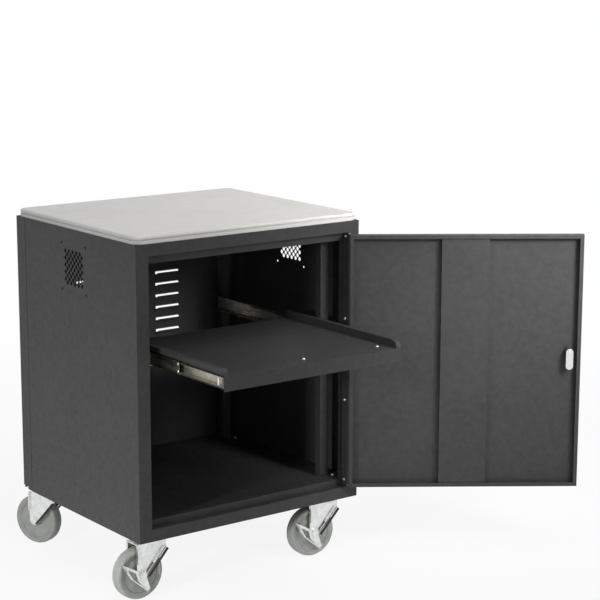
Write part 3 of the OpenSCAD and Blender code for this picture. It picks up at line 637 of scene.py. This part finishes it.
def slide_end_rivets(looks):
    """Bright rivets that hold the ball strips' stops at the front end of each middle member."""
    parts = []
    foot = [(0.0, -0.5 * SHEET), (END_RIVET, -0.5 * SHEET)]
    profile = foot + scaled(END_RIVET_DOME, END_RIVET, END_RIVET)
    for side in SIDES:
        low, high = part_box("slide_middle_" + side)
        face = low.x if side == "left" else high.x
        outward = -RIGHT if side == "left" else RIGHT
        middle_z = 0.5 * (low.z + high.z)
        for way in (-1.0, 1.0):
            level = middle_z + way * END_RIVET_LEVEL * (high.z - low.z)
            place = Vector((face, low.y + MIDDLE_SETBACK + END_RIVET_BACK, level))
            parts.append(turned("rivet", place, outward, profile))
    mesh = joined("slide_end_rivets", parts)
    new_piece("slide_end_rivets", mesh, looks, "fastener_steel", "slide_middles")


def slide_stop_tabs(looks):
    """Upright stop tab on the web of each inner member, just behind its front hole."""
    parts = []
    for side in SIDES:
        low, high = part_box("slide_inner_" + side)
        face = low.x if side == "left" else high.x
        place = Vector((face, low.y + STOP_TAB_BACK, 0.5 * (low.z + high.z)))
        parts.append(block("tab", place, AXES, STOP_TAB))
    mesh = joined("slide_stop_tabs", parts)
    new_piece("slide_stop_tabs", mesh, looks, "fastener_steel", "tray")


def plate_between(name, pivot, reaches, outline):
    """Flat plate square to a wheel's axle, from (forward, up) points in mm round the axle's middle."""
    across = Vector(pivot["axis"])
    forward = across.cross(UP)
    centre = Vector(pivot["pos_m"])
    centre -= across * centre.dot(across)
    corners = []
    for reach in reaches:
        for ahead, level in outline:
            corners.append(centre + across * reach + (forward * ahead + UP * level) * MM)
    count = len(outline)
    faces = [tuple(range(count)), tuple(range(count, 2 * count))]
    for step in range(count):
        after = (step + 1) % count
        faces.append((step, after, count + after, count + step))
    return mesh_of(name, corners, faces)


def open_lever(side, looks):
    """Copy of a brake lever with a long opening between its folded edges."""
    node = "brake_lever_front_" + side
    body = "brake_front_" + side
    pivot = joint(body)
    low, high = extent(node, Vector(pivot["axis"]))
    tool = plate_between("opening", pivot, (low - SHEET, high + SHEET), LEVER_OPENING)
    mesh = cut(frame["nodes"][node].data.copy(), [tool])
    new_piece(node + "_open", mesh, looks, "zinc", body, [node])


def fork_flanges(place, looks):
    """Return flange along the slanted edge of each leg of a fork, near-black as painted shade."""
    pivot = joint("roll_" + place)
    low, high = extent("fork_" + place, Vector(pivot["axis"]))
    parts = []
    for reaches in ((low, low + FLANGE_FOLD), (high, high - FLANGE_FOLD)):
        parts.append(plate_between("flange", pivot, reaches, FLANGE_OUTLINE))
    mesh = joined("flanges", parts)
    # The flanges' near-black look is painted shade of the fork's leg
    new_piece("fork_flanges_" + place, mesh, looks, "zinc", "swivel_" + place, look="painted_shade_zinc")


def louvre_lips(looks):
    """Downward lips on the hoods of the back panel's louvres, which leave a narrow slot below."""
    parts = []
    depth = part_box("side_panel_left")[1].y + LOUVRE_REACH - 0.5 * SHEET
    sizes = (LOUVRE_WIDTH, SHEET, LIP_TOP - LIP_BOTTOM)
    for way in (-1.0, 1.0):
        for row in range(LOUVRE_ROWS):
            level = LOUVRE_TOP - row * LOUVRE_PITCH + 0.5 * (LIP_BOTTOM + LIP_TOP)
            parts.append(block("lip", Vector((way * LOUVRE_OFFSET, depth, level)), AXES, sizes))
    new_piece("louvre_lips", joined("louvre_lips", parts), looks, "cabinet_paint", "cabinet")


def seen_rays(nodes, links):
    """1 for the rays by which the camera, metal and glass see the studio, otherwise 0."""
    path = nodes.new("ShaderNodeLightPath")
    total = path.outputs["Is Camera Ray"]
    for kind in ("Is Glossy Ray", "Is Transmission Ray"):
        largest = nodes.new("ShaderNodeMath")
        largest.operation = "MAXIMUM"
        links.new(total, largest.inputs[0])
        links.new(path.outputs[kind], largest.inputs[1])
        total = largest.outputs[0]
    return total


def floor_material():
    """Pale floor that reads white to the camera and to metal, and keeps the cart's soft shadow near it."""
    look = Shader("studio_floor")
    look.use("Base Color", look.blend(look.noise(2.0), FLOOR_GREY, toned(FLOOR_GREY, 0.98)))
    look.constant(Roughness=0.9)
    white = look.nodes.new("ShaderNodeEmission")
    radius = look.nodes.new("ShaderNodeVectorMath")
    radius.operation = "LENGTH"
    look.links.new(look.place, radius.inputs[0])
    share = look.spread(radius.outputs["Value"], NEAR_RADIUS, FAR_RADIUS, WHITE_NEAR, WHITE_FAR)
    mix = look.nodes.new("ShaderNodeMixShader")
    look.links.new(look.times(share, seen_rays(look.nodes, look.links)), mix.inputs[0])
    look.links.new(look.bsdf.outputs[0], mix.inputs[1])
    look.links.new(white.outputs[0], mix.inputs[2])
    look.links.new(mix.outputs[0], look.out.inputs["Surface"])
    return look.material


def studio_floor():
    bpy.ops.mesh.primitive_plane_add(size=FLOOR_SIZE, location=(0.0, 0.0, FLOOR_Z))
    floor = bpy.context.object
    floor.name = "studio_floor"
    floor.data.materials.append(floor_material())


def area_light(name, place, target, size, watts, spread=180.0):
    """Square lamp that looks at a target; a smaller spread, in degrees, keeps its light narrow."""
    data = bpy.data.lights.new(name, "AREA")
    data.shape = "SQUARE"
    data.size = size
    data.spread = math.radians(spread)
    data.energy = watts
    lamp = bpy.data.objects.new(name, data)
    bpy.context.scene.collection.objects.link(lamp)
    lamp.location = place
    lamp.rotation_euler = (Vector(target) - Vector(place)).to_track_quat("-Z", "Y").to_euler()


def studio_light():
    """Big soft light from above, a narrow one on the door and a low one from the left on the casters."""
    area_light("overhead_softbox", place=(0.1, -1.3, 2.4), target=(0.0, 0.0, -0.4),
               size=2.4, watts=40.0)
    area_light("front_softbox", place=(0.55, -1.9, 0.55), target=(0.72, -0.5, -0.1),
               size=0.5, watts=5.4, spread=55.0)
    area_light("low_fill", place=(-2.6, -1.0, 0.1), target=(-0.15, -0.1, -0.85),
               size=0.25, watts=2.2, spread=40.0)


def background(nodes, colour, strength):
    light = nodes.new("ShaderNodeBackground")
    light.inputs["Color"].default_value = (*colour, 1.0)
    light.inputs["Strength"].default_value = strength
    return light


def world_light():
    """Even light on the cart, and a plain white studio for the camera and for reflections."""
    world = bpy.data.worlds.new("studio")
    bpy.context.scene.world = world
    world.use_nodes = True
    nodes = world.node_tree.nodes
    links = world.node_tree.links
    nodes.clear()
    out = nodes.new("ShaderNodeOutputWorld")
    ambient = background(nodes, AMBIENT, AMBIENT_STRENGTH)
    seen = background(nodes, WHITE, 1.0)
    mix = nodes.new("ShaderNodeMixShader")
    links.new(seen_rays(nodes, links), mix.inputs[0])
    links.new(ambient.outputs[0], mix.inputs[1])
    links.new(seen.outputs[0], mix.inputs[2])
    links.new(mix.outputs[0], out.inputs["Surface"])


def photo_camera():
    data = bpy.data.cameras.new("photo_camera")
    data.sensor_fit = "HORIZONTAL"
    data.sensor_width = SENSOR
    data.lens = SENSOR * FOCAL_PIXELS / PICTURE_PIXELS
    data.clip_end = CAMERA_REACH
    camera = bpy.data.objects.new("photo_camera", data)
    bpy.context.scene.collection.objects.link(camera)
    camera.location = CAMERA_PLACE
    level = Euler((math.pi / 2 - CAMERA_PITCH, 0.0, -CAMERA_YAW)).to_matrix()
    camera.rotation_euler = (level @ Matrix.Rotation(CAMERA_ROLL, 3, "Z")).to_euler()
    bpy.context.scene.camera = camera


photo_camera()
looks = make_looks()
finish_nodes(looks)
door_pan(looks)
cabinet_screw_heads(looks)
tray_pop_rivets(looks)
for side in SIDES:
    slide_member(side, "middle", "slide_middles", MIDDLE_SETBACK, MIDDLE_HOLES, looks)
    slide_member(side, "inner", "tray", 0.0, INNER_HOLES, looks)
slide_end_rivets(looks)
slide_stop_tabs(looks)
louvre_lips(looks)
for side in SIDES:
    open_lever(side, looks)
for place in CASTERS:
    fork_flanges(place, looks)
studio_floor()
studio_light()
world_light()
bpy.context.scene.view_settings.view_transform = "Standard"
